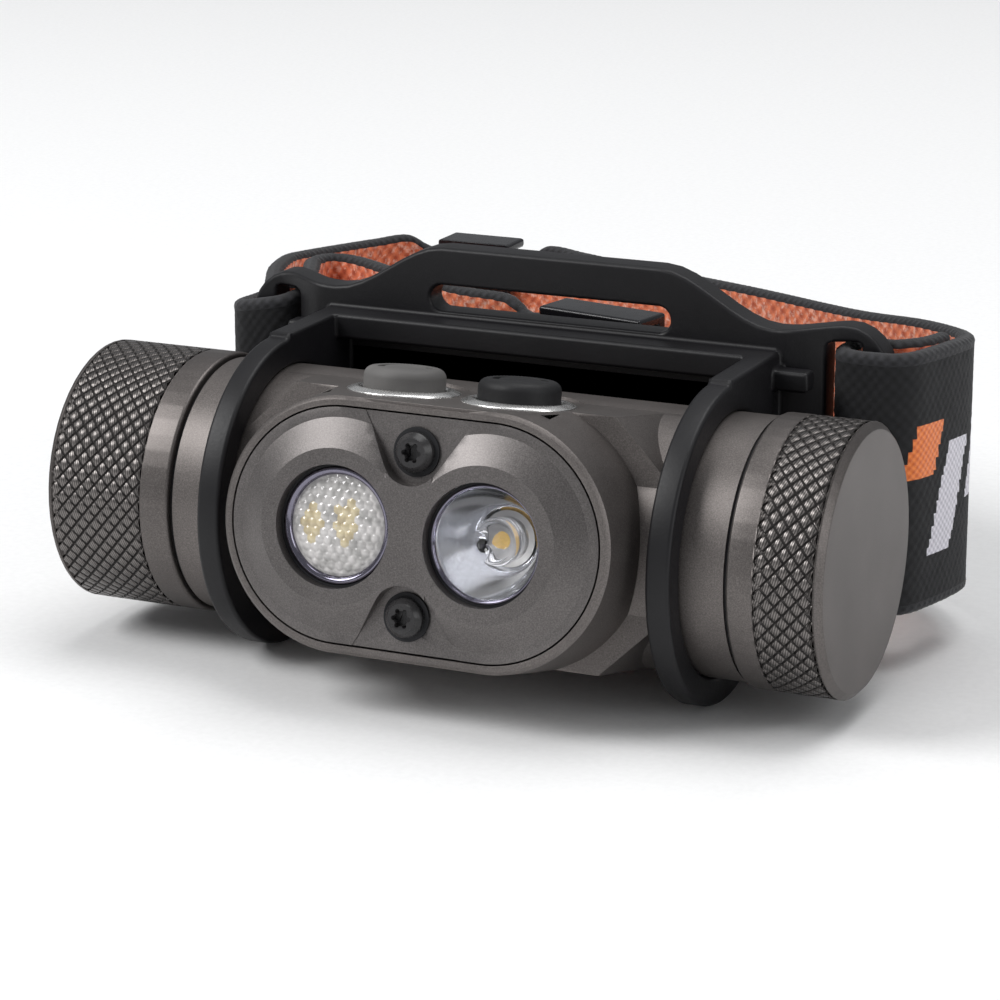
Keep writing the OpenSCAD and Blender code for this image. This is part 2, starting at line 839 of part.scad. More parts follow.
// A slider buckle in its own frame: the strap runs along X between two outer
// bars on +Y and a middle bar on -Y, joined by rails above and below
module buckle(length) {
    half = strap_t / 2 + buckle_slot;
    rail_z = gathered_w / 2 + buckle_slot;
    color(BLACK) {
        for (s = [-1, 1])
            translate([-length / 2, -half - buckle_face, s > 0 ? rail_z : -rail_z - buckle_rail])
                cube([length, 2 * (half + buckle_face), buckle_rail]);
        for (x = [-length / 2, length / 2 - buckle_bar])
            translate([x, half, -rail_z - eps])
                cube([buckle_bar, buckle_face, 2 * rail_z + 2 * eps]);
        translate([-buckle_bar / 2 - 0.4, -half - buckle_face, -rail_z - eps])
            cube([buckle_bar + 0.8, buckle_face, 2 * rail_z + 2 * eps]);
    }
}

module rear_buckle() {
    translate([-34, 71.2, -2.25])
        rotate([0, 0, 180])
            buckle(rear_buckle_len);
}

module inner_buckle() {
    translate([0.4, 25.6, 2])
        rotate([0, 0, -atan(1 / 5)])
            buckle(inner_buckle_len);
}

place_lamp() housing();
place_lamp() bezel_plate();
place_lamp() bezel_gasket();
place_lamp() bezel_screws();
place_lamp() screw_seals();
place_lamp() flood_lens();
place_lamp() spot_lens();
place_lamp() lens_seals();
place_lamp() led_shelf();
place_lamp() flood_led_board();
place_lamp() flood_leds();
place_lamp() spot_led_board();
place_lamp() spot_led();
place_lamp() driver_board();
place_lamp() switch_board();
place_lamp() tact_switches();
place_lamp() left_button_ring();
place_lamp() right_button_ring();
place_lamp() left_button();
place_lamp() right_button();
place_lamp() battery_can();
place_lamp() battery_wrap();
place_lamp() battery_terminal();
place_lamp() left_cap();
place_lamp() left_contact_board();
place_lamp() left_contact_spring();
place_lamp() left_o_ring();
place_lamp() right_cap();
place_lamp() right_contact_board();
place_lamp() right_contact_spring();
place_lamp() right_o_ring();
place_bracket() bracket();
place_bracket() strap();
place_bracket() strap_tail();
place_bracket() rear_buckle();
place_bracket() inner_buckle();
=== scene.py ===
"""Looks for a twin-lens head torch on its bracket and elastic head strap.

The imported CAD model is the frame. Lengths below are in millimetres, in the
frame of the lamp's axis unless a comment says otherwise, and become metres in
the row frame when a mesh is made.
"""

import json
import math

import bpy
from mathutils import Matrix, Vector


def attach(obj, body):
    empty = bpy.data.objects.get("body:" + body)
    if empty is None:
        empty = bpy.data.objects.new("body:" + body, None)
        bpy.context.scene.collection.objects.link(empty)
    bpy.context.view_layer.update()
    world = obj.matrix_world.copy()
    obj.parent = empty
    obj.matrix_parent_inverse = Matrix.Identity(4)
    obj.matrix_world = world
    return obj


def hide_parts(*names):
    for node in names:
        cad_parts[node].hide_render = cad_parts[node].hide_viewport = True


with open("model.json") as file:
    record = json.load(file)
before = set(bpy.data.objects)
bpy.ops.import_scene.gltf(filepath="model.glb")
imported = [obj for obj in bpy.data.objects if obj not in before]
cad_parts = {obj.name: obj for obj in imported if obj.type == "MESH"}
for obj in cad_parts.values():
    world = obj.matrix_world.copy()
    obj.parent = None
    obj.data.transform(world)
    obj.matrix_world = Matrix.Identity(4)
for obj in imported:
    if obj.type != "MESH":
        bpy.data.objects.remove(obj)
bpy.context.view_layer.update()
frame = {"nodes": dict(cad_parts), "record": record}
nodes = frame["nodes"]

MM = 0.001

# ---------------------------------------------------------------- dimensions
AXIS_BACK = 16.0      # the tube's axis lies this far in front of the row origin
REST_TILT = 9.0       # degrees that the lamp's front is tilted up
TUBE_END = 28.3       # the lamp's body reaches this far on either side of its middle
CAP_START = 28.6
CAP_R = 12.95
NECK_R = 11.25        # bore of the caps over the threaded necks
CAP_BORE_R = 10.0
CAP_WALL = 1.7
LEFT_CAP_LEN = 13.5
RIGHT_CAP_LEN = 9.1
LEFT_NECK = 7.0       # length of the threaded neck inside the cap
RIGHT_NECK = 5.4
LENS_X = 7.5          # distance of each lens from the middle
LENS_FACE = 18.75     # depth of the lens faces in front of the axis
LENS_SEAT = 17.3      # depth at which the rims of the lenses end
LENS_R = 5.5
LED_DEPTH = 13.3
FLOOR_Z = -15.3
STRAP_T = 1.8
FULL = 26.0           # height of the webbing
TIGHT = 23.2          # its height inside a buckle
SELVAGE = 1.1         # height of the ribbed borders on the strap's outer face

WELD_REACH = 2e-6     # metres within which imported points become one
FLAT_ANGLE = 0.4      # degrees within which neighbouring facets become one face
EVEN_WEIGHT = 80


# ------------------------------------------------------------------- helpers
def row(p):
    """A point in millimetres on the lamp's axis frame, as metres in the row frame."""
    return Vector((p[0], p[1] - AXIS_BACK, p[2])) * MM


def lamp_row(p):
    """A point in the lamp's own frame, front level, as metres in the row frame."""
    tilt = math.radians(-REST_TILT)
    y = p[1] * math.cos(tilt) - p[2] * math.sin(tilt)
    z = p[1] * math.sin(tilt) + p[2] * math.cos(tilt)
    return row((p[0], y, z))


def new_piece(name, points, faces, body, materials, place=row):
    """A smooth mesh piece that rides on a CAD body; place takes its points to the row frame."""
    mesh = bpy.data.meshes.new(name)
    mesh.from_pydata([place(p) for p in points], [], faces)
    mesh.validate()
    for polygon in mesh.polygons:
        polygon.use_smooth = True
    piece = bpy.data.objects.new(name, mesh)
    bpy.context.scene.collection.objects.link(piece)
    for material in materials:
        mesh.materials.append(material)
    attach(piece, body)
    return piece


def paint(piece, kinds):
    """Gives each face the material that its kind names by number."""
    for polygon, kind in zip(piece.data.polygons, kinds):
        polygon.material_index = kind


def add_uv(piece, uv):
    """Gives each face corner the UV pair of its point."""
    layer = piece.data.uv_layers.new(name="UVMap")
    for loop in piece.data.loops:
        layer.data[loop.index].uv = uv[loop.vertex_index]


def round_edges(piece, width, angle, flatten, clamp):
    """Welds the imported facets, rounds the sharp edges and evens the shading."""
    weld = piece.modifiers.new("weld", "WELD")
    weld.merge_threshold = WELD_REACH
    if flatten:
        flat = piece.modifiers.new("flat", "DECIMATE")
        flat.decimate_type = "DISSOLVE"
        flat.angle_limit = math.radians(FLAT_ANGLE)
    bevel = piece.modifiers.new("bevel", "BEVEL")
    bevel.width = width * MM
    bevel.segments = 2
    bevel.limit_method = "ANGLE"
    bevel.angle_limit = math.radians(angle)
    bevel.miter_outer = "MITER_ARC"
    bevel.use_clamp_overlap = clamp
    even = piece.modifiers.new("even", "WEIGHTED_NORMAL")
    even.weight = EVEN_WEIGHT


# ----------------------------------------------------------------- materials
class Look:
    """A node material on one Principled shader, with the few recipes used here."""

    def __init__(self, name, colour, roughness, **sockets):
        self.material = bpy.data.materials.new(name)
        self.material.use_nodes = True
        self.tree = self.material.node_tree
        self.shader = self.tree.nodes["Principled BSDF"]
        self.shader.inputs["Base Color"].default_value = (*colour, 1)
        self.shader.inputs["Roughness"].default_value = roughness
        for key, value in sockets.items():
            self.shader.inputs[key.replace("_", " ")].default_value = value
        self.space = self.tree.nodes.new("ShaderNodeTexCoord")
        self.bumps = None

    def node(self, kind, **values):
        """A new node; values name its settings or, where it has none of that name, its inputs."""
        made = self.tree.nodes.new(kind)
        for key, value in values.items():
            if hasattr(made, key):
                setattr(made, key, value)
            else:
                made.inputs[key.replace("_", " ")].default_value = value
        return made

    def link(self, source, target):
        """Joins an output to an input."""
        self.tree.links.new(source, target)

    def coordinate(self, scale=(1, 1, 1)):
        """Object coordinates, stretched along the axes."""
        mapping = self.node("ShaderNodeMapping")
        mapping.inputs["Scale"].default_value = scale
        self.link(self.space.outputs["Object"], mapping.inputs["Vector"])
        return mapping.outputs["Vector"]

    def uv(self):
        """The two UV coordinates, which are in millimetres."""
        split = self.node("ShaderNodeSeparateXYZ")
        self.link(self.space.outputs["UV"], split.inputs["Vector"])
        return split.outputs["X"], split.outputs["Y"]

    def noise(self, size, detail=3.0, vector=None, rough=0.6):
        """Noise whose features are about size millimetres across."""
        made = self.node("ShaderNodeTexNoise", Scale=1 / (size * MM), Detail=detail, Roughness=rough)
        self.link(vector or self.coordinate(), made.inputs["Vector"])
        return made.outputs["Fac"]

    def ramp(self, factor, stops):
        """A colour ramp over (position, colour) stops."""
        made = self.node("ShaderNodeValToRGB")
        elements = made.color_ramp.elements
        while len(elements) < len(stops):
            elements.new(0.5)
        for element, (position, colour) in zip(elements, stops):
            element.position = position
            element.color = (*colour, 1) if len(colour) == 3 else (colour[0],) * 3 + (1,)
        self.link(factor, made.inputs["Fac"])
        return made.outputs["Color"]

    def math(self, operation, a, b=0.0):
        """One math node over outputs or plain numbers."""
        made = self.node("ShaderNodeMath", operation=operation)
        for socket, value in zip(made.inputs, (a, b)):
            if isinstance(value, (int, float)):
                socket.default_value = value
            else:
                self.link(value, socket)
        return made.outputs[0]

    def wave(self, along, pitch):
        """A sine wave with the given pitch, from -1 to 1."""
        return self.math("SINE", self.math("MULTIPLY", along, 2 * math.pi / pitch))

    def raised(self, wave):
        """A wave brought to the range from 0 to 1."""
        return self.math("ADD", self.math("MULTIPLY", wave, 0.5), 0.5)

    def mix(self, a, b, share):
        """The given share of a, and b for the rest."""
        return self.math("ADD", self.math("MULTIPLY", a, share), self.math("MULTIPLY", b, 1 - share))

    def colour(self, output):
        """Takes the base colour from an output."""
        self.link(output, self.shader.inputs["Base Color"])

    def rough(self, factor, low, high):
        """Roughness that varies from low to high with a 0 to 1 factor."""
        made = self.node("ShaderNodeMapRange")
        made.inputs["To Min"].default_value = low
        made.inputs["To Max"].default_value = high
        self.link(factor, made.inputs["Value"])
        self.link(made.outputs["Result"], self.shader.inputs["Roughness"])

    def bump(self, height, strength, distance):
        """Adds a bump layer; distance is in millimetres."""
        made = self.node("ShaderNodeBump", Strength=strength, Distance=distance * MM)
        self.link(height, made.inputs["Height"])
        if self.bumps is not None:
            self.link(self.bumps, made.inputs["Normal"])
        self.bumps = made.outputs["Normal"]
        self.link(self.bumps, self.shader.inputs["Normal"])


def shade(colour, factor):
    """A colour made darker or lighter."""
    return tuple(c * factor for c in colour)


def blasted_metal(name, colour, roughness=0.46):
    """Bead-blasted anodised aluminium: a fine sparkle of grain over a soft, uneven film."""
    look = Look(name, colour, roughness, Metallic=0.88, Specular_IOR_Level=0.5)
    grain = look.noise(0.13, 4, rough=0.75)
    cloud = look.noise(9, 2)
    mix = look.mix(grain, cloud, 0.8)
    look.colour(look.ramp(mix, [(0.32, shade(colour, 0.62)), (0.5, colour), (0.68, shade(colour, 1.55))]))
    look.rough(grain, roughness - 0.1, roughness + 0.14)
    look.bump(grain, 0.35, 0.02)
    return look.material


def knurl_metal(name, colour):
    """The same metal cut by a knurling tool, with fine slanted lines left on the lands."""
    line_pitch = 0.24
    line_slant = 0.28
    look = Look(name, colour, 0.36, Metallic=0.9)
    along, around = look.uv()
    slanted = look.math("ADD", along, look.math("MULTIPLY", around, line_slant))
    line = look.raised(look.wave(slanted, line_pitch))
    grain = look.noise(0.16, 3)
    mix = look.mix(line, grain, 0.55)
    look.colour(look.ramp(mix, [(0.25, shade(colour, 0.45)), (0.8, shade(colour, 1.5))]))
    look.rough(grain, 0.26, 0.46)
    look.bump(line, 0.4, 0.025)
    look.bump(grain, 0.2, 0.015)
    return look.material


def moulded_polymer(name, colour, roughness, grain_size=0.32, depth=0.03):
    """Moulded plastic or rubber with a fine spark-eroded texture."""
    look = Look(name, colour, roughness, Specular_IOR_Level=0.32)
    grain = look.noise(grain_size, 3, rough=0.7)
    cloud = look.noise(6, 2)
    look.colour(look.ramp(cloud, [(0.3, shade(colour, 0.85)), (0.7, shade(colour, 1.2))]))
    look.rough(grain, roughness - 0.09, roughness + 0.1)
    look.bump(grain, 0.4, depth)
    return look.material


def machined_metal(name, colour, roughness, metallic=1.0):
    """Plated or bare metal with fine turning marks."""
    look = Look(name, colour, roughness, Metallic=metallic)
    streak = look.noise(0.2, 3, look.coordinate(scale=(1, 1, 0.15)))
    look.colour(look.ramp(streak, [(0.3, shade(colour, 0.9)), (0.7, shade(colour, 1.08))]))
    look.rough(streak, max(roughness - 0.03, 0.02), roughness + 0.05)
    look.bump(streak, 0.08, 0.01)
    return look.material


def clear_glass(name, tint, roughness):
    """A clear moulded optic; shadows pass through it so that the emitter stays lit."""
    look = Look(name, tint, roughness, Transmission_Weight=1.0, IOR=1.47)
    film = look.noise(0.5, 2)
    look.rough(film, roughness, roughness + 0.02)
    clear = look.node("ShaderNodeBsdfTransparent")
    path = look.node("ShaderNodeLightPath")
    mix = look.node("ShaderNodeMixShader")
    look.link(path.outputs["Is Shadow Ray"], mix.inputs[0])
    look.link(look.shader.outputs["BSDF"], mix.inputs[1])
    look.link(clear.outputs["BSDF"], mix.inputs[2])
    look.link(mix.outputs["Shader"], look.tree.nodes["Material Output"].inputs["Surface"])
    return look.material


def phosphor(name):
    """The yellow phosphor of a light source, given a faint painted glow by emission so that it reads
    behind its optic.
    """
    colour = (0.80, 0.52, 0.12)
    # the emission is a painted glow; the light source itself is not lit
    look = Look(name, colour, 0.45, Emission_Color=(0.95, 0.62, 0.16, 1), Emission_Strength=0.25)
    grain = look.noise(0.12, 3)
    look.colour(look.ramp(grain, [(0.3, shade(colour, 0.8)), (0.7, shade(colour, 1.15))]))
    look.bump(grain, 0.2, 0.01)
    return look.material


def circuit_board(name):
    """Green solder mask with paler tracks."""
    look = Look(name, (0.02, 0.12, 0.05), 0.35)
    track = look.node("ShaderNodeTexBrick", Scale=600.0)
    track.inputs["Color1"].default_value = (0.015, 0.10, 0.04, 1)
    track.inputs["Color2"].default_value = (0.03, 0.16, 0.07, 1)
    track.inputs["Mortar"].default_value = (0.06, 0.22, 0.09, 1)
    look.link(look.coordinate(), track.inputs["Vector"])
    look.colour(track.outputs["Color"])
    look.bump(track.outputs["Fac"], 0.3, 0.03)
    return look.material


COLOUR_A, COLOUR_B, COLOUR_OUT = 6, 7, 2   # sockets of the Mix node when it mixes colours


def knit(name, dark, light, across, along, sheen=0.4, fleck=None):
    """Knitted elastic. UVs run along the strap and across it in millimetres."""
    look = Look(name, dark, 0.85, Sheen_Weight=sheen, Sheen_Roughness=0.5)
    strap_along, strap_across = look.uv()
    ribs = look.wave(strap_along, along)
    courses = look.wave(strap_across, across)
    stitch = look.raised(look.math("MULTIPLY", ribs, courses))
    fuzz = look.noise(0.14, 4, rough=0.8)
    patch = look.noise(1.7, 3)
    base = look.ramp(look.mix(stitch, fuzz, 0.45), [(0.25, dark), (0.75, light)])
    if fleck:
        made = look.node("ShaderNodeMix", data_type="RGBA")
        flecks = look.noise(0.55, 2)
        look.link(look.ramp(flecks, [(0.5, (0.0,)), (0.72, (0.75,))]), made.inputs["Factor"])
        look.link(base, made.inputs[COLOUR_A])
        made.inputs[COLOUR_B].default_value = (*fleck, 1)
        base = made.outputs[COLOUR_OUT]
    look.colour(base)
    look.rough(patch, 0.75, 0.95)
    look.bump(stitch, 0.5, 0.12)
    look.bump(fuzz, 0.6, 0.08)
    return look.material


BODY_GREY = (0.150, 0.136, 0.130)
LOOKS = {
    "anodised_body": blasted_metal("anodised_body", BODY_GREY),
    "anodised_bezel": blasted_metal("anodised_bezel", (0.138, 0.128, 0.125), 0.42),
    "anodised_cap": blasted_metal("anodised_cap", (0.128, 0.116, 0.111), 0.42),
    "knurl": knurl_metal("knurl", (0.160, 0.147, 0.141)),
    # a darker copy of the cap metal for the knurl's grooves and the slopes into them: painted shade
    "knurl_groove": blasted_metal("knurl_groove", (0.040, 0.037, 0.036), 0.5),
    "black_rubber": moulded_polymer("black_rubber", (0.012, 0.012, 0.014), 0.6),
    "black_steel": moulded_polymer("black_steel", (0.030, 0.029, 0.030), 0.28, 0.4, 0.01),
    "bare_aluminium": machined_metal("bare_aluminium", (0.7, 0.7, 0.71), 0.3),
    "bright_steel": machined_metal("bright_steel", (0.72, 0.72, 0.72), 0.22),
    "contact_brass": machined_metal("contact_brass", (0.72, 0.52, 0.22), 0.25),
    "polished_ring": machined_metal("polished_ring", (0.95, 0.94, 0.92), 0.26),
    "board_green": circuit_board("board_green"),
    "led_amber": phosphor("led_amber"),
    "cell_wrap": moulded_polymer("cell_wrap", (0.03, 0.09, 0.35), 0.3, 0.6, 0.01),
    "grey_silicone": moulded_polymer("grey_silicone", (0.120, 0.116, 0.113), 0.62, 0.28, 0.05),
    "black_silicone": moulded_polymer("black_silicone", (0.011, 0.011, 0.012), 0.55, 0.28, 0.05),
    "black_polymer": moulded_polymer("black_polymer", (0.0065, 0.0062, 0.0075), 0.46, 0.30, 0.035),
    "buckle_plastic": moulded_polymer("buckle_plastic", (0.010, 0.010, 0.012), 0.25, 0.8, 0.01),
    "frosted_lens": clear_glass("frosted_lens", (0.97, 0.97, 1.0), 0.03),
    "clear_lens": clear_glass("clear_lens", (0.98, 0.98, 1.0), 0.0),
}

slots = {part["node"]: part["material_slot"] for part in frame["record"]["subparts"]}
for node_name, cad_node in nodes.items():
    if slots[node_name] in LOOKS:
        cad_node.data.materials.clear()
        cad_node.data.materials.append(LOOKS[slots[node_name]])

# -------------------------------------------------- CAD nodes with soft edges
SOFT_EDGES = {   # node: (rounding in mm, smallest angle rounded, flatten first, clamp where tight)
    "housing": (0.16, 18, False, True),
    "bezel_plate": (0.10, 18, False, True),
    "bracket": (0.40, 30, True, False),
    "bezel_screws": (0.06, 32, True, True),
    "left_button_ring": (0.06, 18, True, True),
    "right_button_ring": (0.06, 18, True, True),
    "left_button": (0.10, 32, True, True),
    "right_button": (0.10, 32, True, True),
    "rear_buckle": (0.35, 32, True, True),
    "inner_buckle": (0.35, 32, True, True)}
for node_name, settings in SOFT_EDGES.items():
    round_edges(nodes[node_name], *settings)

# ---------------------------------------------------------------- screw caps
KNURL_COLUMNS = 50
KNURL_DEPTH = 0.3
COLUMN = 2 * math.pi / KNURL_COLUMNS
LAND = 0.77           # share of a diamond that its flat top covers
WORN = 0.86           # share that its softened rim covers
WORN_DROP = 0.07
KNURL_LEAD = 0.12     # the plain band dips over this length before the knurl
KNURL_DIP = 0.06
NECK_ROOM = 0.4       # the threaded bore is this much longer than the neck
CENTRE_R = 1.5        # a single face closes the cap's end inside this radius
CAP_MOUTH = [(0, NECK_R), (0, CAP_R - 0.35), (0.12, CAP_R - 0.12), (0.35, CAP_R)]
CAP_END = [(-0.7, CAP_R), (-0.6, CAP_R - 0.04), (-0.05, CAP_R - 0.62), (0, CAP_R - 0.75),
           (0, CAP_R - 2.5), (0, 5.0), (0, CENTRE_R)]
# face kinds: plain metal, the knurl's lands, and the grooves and slopes that carry painted shade
PLAIN, KNURL, GROOVE_SHADE = range(3)
CAP_LOOKS = [LOOKS["anodised_cap"], LOOKS["knurl"], LOOKS["knurl_groove"]]


class CapMesh:
    """The points and faces of a screw cap; side is -1 for the left cap and 1 for the right one."""

    def __init__(self, side):
        self.side = side
        self.points = []
        self.uv = []
        self.faces = []
        self.kinds = []

    def at(self, x, r, angle):
        """Adds a point and returns its number."""
        self.points.append((self.side * x, r * math.cos(angle), r * math.sin(angle)))
        self.uv.append((x, CAP_R * angle))
        return len(self.points) - 1

    def ring(self, x, r):
        """Adds a ring with two points a column, in line with the corners of a diamond's land."""
        half = LAND * COLUMN / 2
        return [self.at(x, r, COLUMN * k + turn) for k in range(KNURL_COLUMNS) for turn in (-half, half)]

    def add(self, face, kind):
        """Adds a face whose points are in order for the right cap."""
        self.faces.append(tuple(face[::self.side]))
        self.kinds.append(kind)

    def skin(self, chain):
        """Joins each ring of a chain to the next."""
        for a, b in zip(chain, chain[1:]):
            for k in range(len(a)):
                n = (k + 1) % len(a)
                self.add((a[k], b[k], b[n], a[n]), PLAIN)


def diamond(cap, x, angle, step, corners):
    """One diamond: a flat land whose worn rim slopes down to four points in the grooves; the rim and the
    slopes are painted dark as groove shade.
    """
    rims = [corners]
    for share, r in ((WORN, CAP_R - WORN_DROP), (LAND, CAP_R)):
        turn = share * COLUMN / 2
        rims.append([cap.at(x, r, angle - turn), cap.at(x - share * step, r, angle),
                     cap.at(x, r, angle + turn), cap.at(x + share * step, r, angle)])
    # the faces from the groove points up to the land carry the painted groove shade
    for lower, upper in zip(rims, rims[1:]):
        for i in range(4):
            n = (i + 1) % 4
            cap.add((lower[i], lower[n], upper[n], upper[i]), GROOVE_SHADE)
    cap.add(rims[-1], KNURL)


def half_diamond(cap, on_ring, in_groove, tip, into):
    """The half of a diamond at the knurl's end; into is 1 at its start and -1 at its end."""
    a, b, following = on_ring
    left, far, right = in_groove
    for face in ((a, b, tip), (left, a, tip, far), (far, tip, b, right)):
        cap.add(face[::into], KNURL)
    # the slope down into the groove carries the painted groove shade
    cap.add((b, following, right)[::into], GROOVE_SHADE)


def knurl(cap, rings, start, end, rows):
    """Diamonds between two rings; with an odd number of rows both ends line up with the rings."""
    step = (end - start) / (rows - 1)
    grooves = {}

    def groove(j, half):
        """The groove point on row j, a number of half columns round."""
        key = (j, half % (2 * KNURL_COLUMNS))
        if key not in grooves:
            grooves[key] = cap.at(start + step * j, CAP_R - KNURL_DEPTH, half * COLUMN / 2)
        return grooves[key]

    for j in range(rows):
        x = start + step * j
        for k in range(KNURL_COLUMNS):
            middle = 2 * k + j % 2
            angle = middle * COLUMN / 2
            left, right = groove(j, middle - 1), groove(j, middle + 1)
            if 0 < j < rows - 1:
                corners = [left, groove(j - 1, middle), right, groove(j + 1, middle)]
                diamond(cap, x, angle, step, corners)
                continue
            into, ring = (1, rings[0]) if j == 0 else (-1, rings[1])
            on_ring = (ring[2 * k], ring[2 * k + 1], ring[(2 * k + 2) % len(ring)])
            tip = cap.at(x + into * step * LAND, CAP_R, angle)
            half_diamond(cap, on_ring, (left, groove(j + into, middle), right), tip, into)


def knurled_cap(name, node_name, body, side, length, neck, knurled, rows):
    """A screw cap turned from bar, knurled between two distances along the tube."""
    cap = CapMesh(side)
    start, end = knurled
    cap_end = CAP_START + length
    floor = cap_end - CAP_WALL
    seat = TUBE_END + neck + NECK_ROOM
    before = [cap.ring(CAP_START + x, r) for x, r in CAP_MOUTH]
    before += [cap.ring(start - KNURL_LEAD, CAP_R), cap.ring(start, CAP_R - KNURL_DIP)]
    after = [cap.ring(end, CAP_R - KNURL_DIP), cap.ring(end + KNURL_LEAD, CAP_R)]
    after += [cap.ring(cap_end + x, r) for x, r in CAP_END]
    inside = [cap.ring(floor, CENTRE_R), cap.ring(floor, CAP_BORE_R),
              cap.ring(seat, CAP_BORE_R), cap.ring(seat, NECK_R), before[0]]
    for chain in (before, after, inside):
        cap.skin(chain)
    cap.add(after[-1][::-1], PLAIN)
    cap.add(inside[0], PLAIN)
    knurl(cap, (before[-1], after[0]), start, end, rows)
    piece = new_piece(name, cap.points, cap.faces, body, CAP_LOOKS, lamp_row)
    paint(piece, cap.kinds)
    for polygon in piece.data.polygons:
        polygon.use_smooth = polygon.material_index == PLAIN
    add_uv(piece, cap.uv)
    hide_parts(node_name)
    piece.modifiers.new("even", "WEIGHTED_NORMAL").weight = EVEN_WEIGHT


knurled_cap("left_cap_knurled", "left_cap", "left_cap_turn", -1, LEFT_CAP_LEN, LEFT_NECK,
            (31.7, 41.7), 15)
knurled_cap("right_cap_knurled", "right_cap", "right_cap_turn", 1, RIGHT_CAP_LEN, RIGHT_NECK,
            (31.2, 36.9), 9)

# ------------------------------------------------------------------ webbing
STRAP_ROUTE = [
    (35.9, 26.8, 2.8, FULL), (35.6, 24, 3, FULL), (34.9, 21.6, 3.2, FULL), (33.2, 20.1, 3.2, FULL),
    (31, 20, 3.2, FULL), (29.7, 18.6, 3.2, FULL), (29.7, 15.6, 3.2, FULL), (30.9, 14.4, 3.2, FULL),
    (33.4, 14.3, 3.2, FULL), (35, 14.6, 3.2, FULL), (36.4, 16, 3.2, FULL), (37.3, 19.2, 3.1, FULL),
    (38, 23.5, 2.9, FULL), (37.9, 27.8, 2.5, FULL), (35.8, 32.5, 1.9, FULL), (29.9, 38.8, 1, FULL),
    (20, 46.6, -0.5, FULL), (5, 56.6, -1.5, FULL), (-12, 65, -2.1, FULL), (-20, 68.8, -2.25, FULL),
    (-25, 70.7, -2.25, FULL), (-27.4, 71.2, -2.25, TIGHT), (-29, 71.2, -2.25, TIGHT),
    (-34, 71.2, -2.25, TIGHT), (-38.5, 71.2, -2.25, TIGHT), (-40.6, 71.2, -2.25, TIGHT),
    (-42.8, 69.8, -2.25, FULL), (-45, 66, -2.2, FULL), (-46.6, 59.5, -1.8, FULL),
    (-47.3, 52.6, -1.2, FULL), (-47.2, 48, -0.8, FULL), (-44.8, 40.7, -0.2, FULL),
    (-42.2, 35.2, 0.2, FULL), (-39.1, 29, 0.6, FULL), (-37, 24.5, 1, FULL), (-36.6, 21, 1.2, FULL),
    (-36.2, 17.5, 1.5, FULL), (-35, 15, 1.9, FULL), (-33.4, 14.3, 2.3, FULL),
    (-30.9, 14.4, 2.8, FULL), (-29.7, 15.6, 3.1, FULL), (-29.7, 18.6, 3.2, FULL),
    (-31, 20, 3.2, FULL), (-33, 20.4, 3.2, FULL), (-34.2, 22, 3.1, FULL)]
TAIL_ROUTE = [
    (-32.6, 22.3, 3, FULL), (-33.4, 26, 2.7, FULL), (-35.8, 31.6, 2.3, FULL), (-37.8, 36.2, 2, FULL),
    (-37.1, 39.2, 1.9, FULL), (-33.5, 39, 1.8, FULL), (-25, 33.8, 1.8, FULL), (-17, 29.8, 1.9, FULL),
    (-11, 27.9, 2, FULL), (-8.6, 27.4, 2, TIGHT), (-6.6, 27, 2, TIGHT), (0.4, 25.6, 2, TIGHT),
    (6.4, 24.4, 2, TIGHT), (8.4, 24, 2, TIGHT), (11, 23.6, 2, FULL), (15, 23.4, 2, FULL)]
HALF = FULL / 2
WEB_STEP = 0.4        # distance between points, along the strap and across it
SPAN_POINTS = 40      # points worked out between two route points
INNER_SHIFT = 40      # keeps the UVs of the inner face clear of the outer face's
ROUND_EDGE = 0.8      # reach of the rounded edges, as a share of half the thickness
EDGE_RIB = (0.07, 0.95)           # height and pitch of the ribs on the borders
WAFFLE = (0.11, 0.85, 0.05)       # height, cell size and sink of the inner face
OUTER_RIB = (0.035, 1.3, 0.04)    # height, pitch and sink of the outer face's ribs
SWAY = (2.0, 2.6)                 # how strongly and how often the outer ribs sway
SCALLOP = (0.4, 0.35, 1.7)        # least height, depth and pitch of the inner face's black scallops
PRINT_START = 9       # the route point where the woven pattern begins
PRINT_COUNT = 5
PRINT_PITCH = 6.4
PRINT_WIDTH = 4.4
PRINT_SLANT = 0.35
FIRST_BAR = (0.5, 6)  # lower and upper end of the short bright bar
BAR_ENDS = ((-3.0, 8.0), (-7.5, 3.5))   # ends of the pale bars, which take turns
OUTER, INNER, EDGE, PRINT_BRIGHT, PRINT_PALE = range(5)


def blend(p, t):
    """Catmull-Rom point between the middle two of four points."""
    return tuple(
        (2 * b + (c - a) * t + (2 * a - 5 * b + 4 * c - d) * t ** 2
         + (3 * b - 3 * c + d - a) * t ** 3) / 2 for a, b, c, d in zip(*p))


def smoothed(route):
    """Closely spaced points through the route, and which of them are the route's own."""
    last = len(route) - 1
    fine, own = [], []
    for i in range(last):
        span = [route[max(i - 1, 0)], route[i], route[i + 1], route[min(i + 2, last)]]
        own.append(len(fine))
        fine += [blend(span, k / SPAN_POINTS) for k in range(SPAN_POINTS)]
    fine.append(route[-1])
    own.append(len(fine) - 1)
    return fine, own


def evenly(route, step):
    """Points one step apart with their distance along the line, and the route points' distances."""
    fine, own = smoothed(route)
    run = [0.0]
    for a, b in zip(fine, fine[1:]):
        run.append(run[-1] + math.dist(a[:2], b[:2]))
    count = round(run[-1] / step)
    line, i = [], 0
    for k in range(count + 1):
        s = run[-1] * k / count
        while i < len(run) - 2 and run[i + 1] < s:
            i += 1
        f = (s - run[i]) / max(run[i + 1] - run[i], 1e-9)
        line.append((s, [a + (b - a) * f for a, b in zip(fine[i], fine[i + 1])]))
    return line, [run[i] for i in own]


